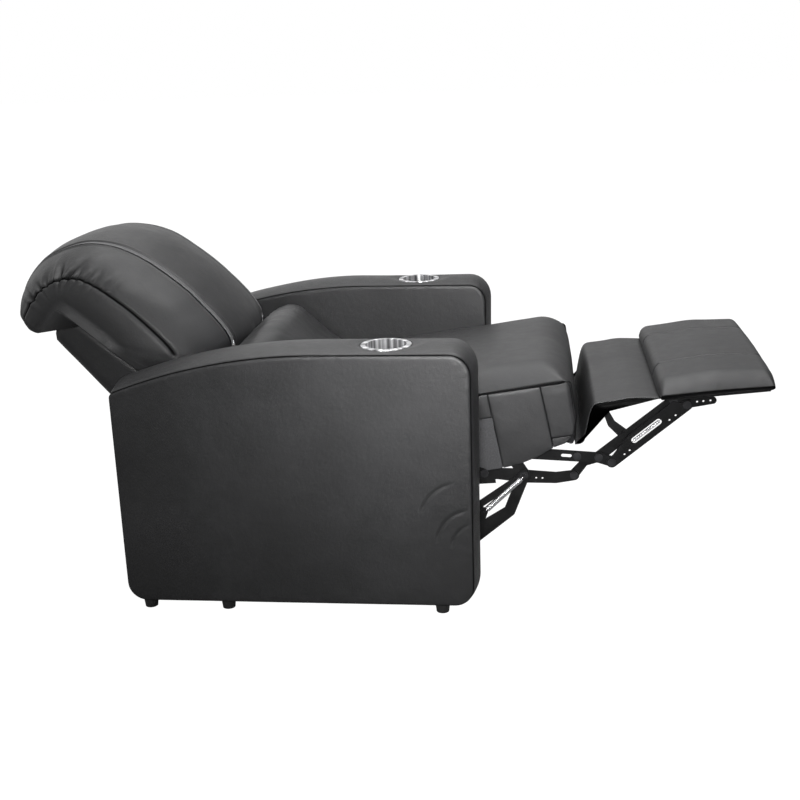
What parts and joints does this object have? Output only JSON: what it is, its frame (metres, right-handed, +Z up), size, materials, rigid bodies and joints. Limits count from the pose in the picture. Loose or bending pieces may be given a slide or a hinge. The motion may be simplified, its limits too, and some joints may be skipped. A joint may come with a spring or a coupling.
{
  "type": "cinema recliner seat",
  "caption": "Black leather home cinema recliner seat with padded arms, cup holders, a split back and a fold-out footrest on a steel linkage, stored fully reclined.",
  "frame": {"origin": "on the floor, under the middle of the reclined seat's length and width", "axes": "+X towards the footrest, +Y to the sitter's left, +Z up"},
  "size_m": [1.7221, 0.893, 0.7992],
  "materials": {
    "arm_cover_r": "satin",
    "arm_cover_l": "satin",
    "arm_frame_r": "matt",
    "arm_frame_l": "matt",
    "cup_holder_r": "polished",
    "cup_holder_l": "polished",
    "arm_feet": "matt",
    "base_rail_r": "satin",
    "base_rail_l": "satin",
    "front_cross_rail": "satin",
    "rear_cross_rail": "satin",
    "base_bolts": "satin",
    "base_rivets": "satin",
    "assist_spring_r": "satin",
    "assist_spring_l": "satin",
    "release_bezel": "matt",
    "release_paddle": "matt",
    "front_swing_link_r": "satin",
    "front_swing_link_l": "satin",
    "rear_swing_link_r": "satin",
    "rear_swing_link_l": "satin",
    "back_drive_link_r": "satin",
    "back_drive_link_l": "satin",
    "seat_rail_r": "satin",
    "seat_rail_l": "satin",
    "seat_side_boards": "matt",
    "seat_front_board": "matt",
    "seat_rear_board": "matt",
    "seat_springs": "satin",
    "seat_cross_tube": "satin",
    "seat_rivets": "satin",
    "seat_cushion": "satin",
    "back_brackets": "satin",
    "back_rivets": "satin",
    "back_side_boards": "matt",
    "back_top_board": "matt",
    "back_bottom_board": "matt",
    "back_webbing": "matt",
    "back_shell": "satin",
    "lumbar_cushion": "satin",
    "head_cushion": "satin",
    "upper_link_r": "satin",
    "upper_link_l": "satin",
    "torque_tube": "satin",
    "fork_rivets": "satin",
    "lower_link_r": "satin",
    "lower_link_l": "satin",
    "inner_link_r": "satin",
    "inner_link_l": "satin",
    "knee_board": "satin",
    "knee_rivets": "satin",
    "outer_link_r": "satin",
    "outer_link_l": "satin",
    "link_spring_r": "satin",
    "link_spring_l": "satin",
    "footrest_brackets": "satin",
    "footrest_rivets": "satin",
    "footrest_board": "matt",
    "footrest_pad": "satin",
    "calf_flap": "satin"
  },
  "bodies": {
    "base": {"arm_cover_r": "arm_cover_r", "arm_cover_l": "arm_cover_l", "arm_frame_r": "arm_frame_r", "arm_frame_l": "arm_frame_l", "cup_holder_r": "cup_holder_r", "cup_holder_l": "cup_holder_l", "arm_feet": "arm_feet", "base_rail_r": "base_rail_r", "base_rail_l": "base_rail_l", "front_cross_rail": "front_cross_rail", "rear_cross_rail": "rear_cross_rail", "base_bolts": "base_bolts", "base_rivets": "base_rivets", "assist_spring_r": "assist_spring_r", "assist_spring_l": "assist_spring_l", "release_bezel": "release_bezel"},
    "release_paddle": {"release_paddle": "release_paddle"},
    "front_swing_r": {"front_swing_link_r": "front_swing_link_r"},
    "front_swing_l": {"front_swing_link_l": "front_swing_link_l"},
    "rear_swing_r": {"rear_swing_link_r": "rear_swing_link_r"},
    "rear_swing_l": {"rear_swing_link_l": "rear_swing_link_l"},
    "back_drive_r": {"back_drive_link_r": "back_drive_link_r"},
    "back_drive_l": {"back_drive_link_l": "back_drive_link_l"},
    "seat": {"seat_rail_r": "seat_rail_r", "seat_rail_l": "seat_rail_l", "seat_side_boards": "seat_side_boards", "seat_front_board": "seat_front_board", "seat_rear_board": "seat_rear_board", "seat_springs": "seat_springs", "seat_cross_tube": "seat_cross_tube", "seat_rivets": "seat_rivets", "seat_cushion": "seat_cushion"},
    "back": {"back_brackets": "back_brackets", "back_rivets": "back_rivets", "back_side_boards": "back_side_boards", "back_top_board": "back_top_board", "back_bottom_board": "back_bottom_board", "back_webbing": "back_webbing", "back_shell": "back_shell", "lumbar_cushion": "lumbar_cushion", "head_cushion": "head_cushion"},
    "footrest_drive": {"upper_link_r": "upper_link_r", "upper_link_l": "upper_link_l", "torque_tube": "torque_tube", "fork_rivets": "fork_rivets"},
    "lower_link_r": {"lower_link_r": "lower_link_r"},
    "lower_link_l": {"lower_link_l": "lower_link_l"},
    "inner_links": {"inner_link_r": "inner_link_r", "inner_link_l": "inner_link_l", "knee_board": "knee_board", "knee_rivets": "knee_rivets"},
    "outer_link_r": {"outer_link_r": "outer_link_r", "link_spring_r": "link_spring_r"},
    "outer_link_l": {"outer_link_l": "outer_link_l", "link_spring_l": "link_spring_l"},
    "footrest": {"footrest_brackets": "footrest_brackets", "footrest_rivets": "footrest_rivets", "footrest_board": "footrest_board", "footrest_pad": "footrest_pad", "calf_flap": "calf_flap"}
  },
  "joints": [
    {"name": "recline", "type": "hinge", "parent": "base", "child": "front_swing_r", "pos_m": [0.201, 0, 0.118], "axis": [0, -1, 0], "range_deg": [0, 52], "deforming": ["assist_spring_r", "assist_spring_l"]},
    {"name": "front_swing_left", "type": "hinge", "parent": "base", "child": "front_swing_l", "pos_m": [0.201, 0, 0.118], "axis": [0, -1, 0], "range_deg": [-0.5, 52.5]},
    {"name": "rear_swing_right", "type": "hinge", "parent": "base", "child": "rear_swing_r", "pos_m": [-0.2334, 0, 0.07], "axis": [0, -1, 0], "range_deg": [-0.5, 49]},
    {"name": "rear_swing_left", "type": "hinge", "parent": "base", "child": "rear_swing_l", "pos_m": [-0.2334, 0, 0.07], "axis": [0, -1, 0], "range_deg": [-0.5, 49]},
    {"name": "seat_tilt", "type": "hinge", "parent": "front_swing_r", "child": "seat", "pos_m": [0.32299, 0, 0.27], "axis": [0, -1, 0], "range_deg": [-56.5, 0.5]},
    {"name": "back_lean", "type": "hinge", "parent": "seat", "child": "back", "pos_m": [-0.15599, 0, 0.352], "axis": [0, -1, 0], "range_deg": [-26.5, 0.5]},
    {"name": "back_drive_right", "type": "hinge", "parent": "base", "child": "back_drive_r", "pos_m": [-0.28997, 0, 0.075], "axis": [0, -1, 0], "range_deg": [-0.5, 41.6]},
    {"name": "back_drive_left", "type": "hinge", "parent": "base", "child": "back_drive_l", "pos_m": [-0.28997, 0, 0.075], "axis": [0, -1, 0], "range_deg": [-0.5, 41.6]},
    {"name": "footrest_swing", "type": "hinge", "parent": "seat", "child": "footrest_drive", "pos_m": [0.29095, 0, 0.32001], "axis": [0, -1, 0], "range_deg": [-90, 0], "deforming": ["calf_flap"]},
    {"name": "lower_link_right", "type": "hinge", "parent": "seat", "child": "lower_link_r", "pos_m": [0.2343, 0, 0.2708], "axis": [0, -1, 0], "range_deg": [-90, 0.5]},
    {"name": "lower_link_left", "type": "hinge", "parent": "seat", "child": "lower_link_l", "pos_m": [0.2343, 0, 0.2708], "axis": [0, -1, 0], "range_deg": [-90, 0.5]},
    {"name": "inner_link_fold", "type": "hinge", "parent": "footrest_drive", "child": "inner_links", "pos_m": [0.48798, 0, 0.30796], "axis": [0, -1, 0], "range_deg": [-0.5, 100.5]},
    {"name": "outer_link_right", "type": "hinge", "parent": "footrest_drive", "child": "outer_link_r", "pos_m": [0.51702, 0, 0.29897], "axis": [0, -1, 0], "range_deg": [-0.5, 100.5]},
    {"name": "outer_link_left", "type": "hinge", "parent": "footrest_drive", "child": "outer_link_l", "pos_m": [0.51702, 0, 0.29897], "axis": [0, -1, 0], "range_deg": [-0.5, 100.5]},
    {"name": "footrest_turn", "type": "hinge", "parent": "inner_links", "child": "footrest", "pos_m": [0.64701, 0, 0.44093], "axis": [0, -1, 0], "range_deg": [-100.5, 0.5]},
    {"name": "release_press", "type": "hinge", "parent": "base", "child": "release_paddle", "pos_m": [0.086, -0.2965, 0.5512], "axis": [1, 0, 0], "range_deg": [-12, 0], "stiffness_Nm_per_rad": 0.4, "springref_deg": 11.46}
  ],
  "couplings": [
    {"joint": "front_swing_left", "follows": "recline", "ratio": 1},
    {"joint": "rear_swing_right", "follows": "recline", "ratio": 0.9296},
    {"joint": "rear_swing_left", "follows": "recline", "ratio": 0.9296},
    {"joint": "seat_tilt", "follows": "recline", "ratio": -1.0769},
    {"joint": "back_lean", "follows": "recline", "ratio": -0.5},
    {"joint": "back_drive_right", "follows": "recline", "ratio": 0.79},
    {"joint": "back_drive_left", "follows": "recline", "ratio": 0.79},
    {"joint": "lower_link_right", "follows": "footrest_swing", "ratio": 0.9956},
    {"joint": "lower_link_left", "follows": "footrest_swing", "ratio": 0.9956},
    {"joint": "inner_link_fold", "follows": "footrest_swing", "ratio": -1.1111},
    {"joint": "outer_link_right", "follows": "footrest_swing", "ratio": -1.1111},
    {"joint": "outer_link_left", "follows": "footrest_swing", "ratio": -1.1111},
    {"joint": "footrest_turn", "follows": "footrest_swing", "ratio": 1.1111}
  ]
}
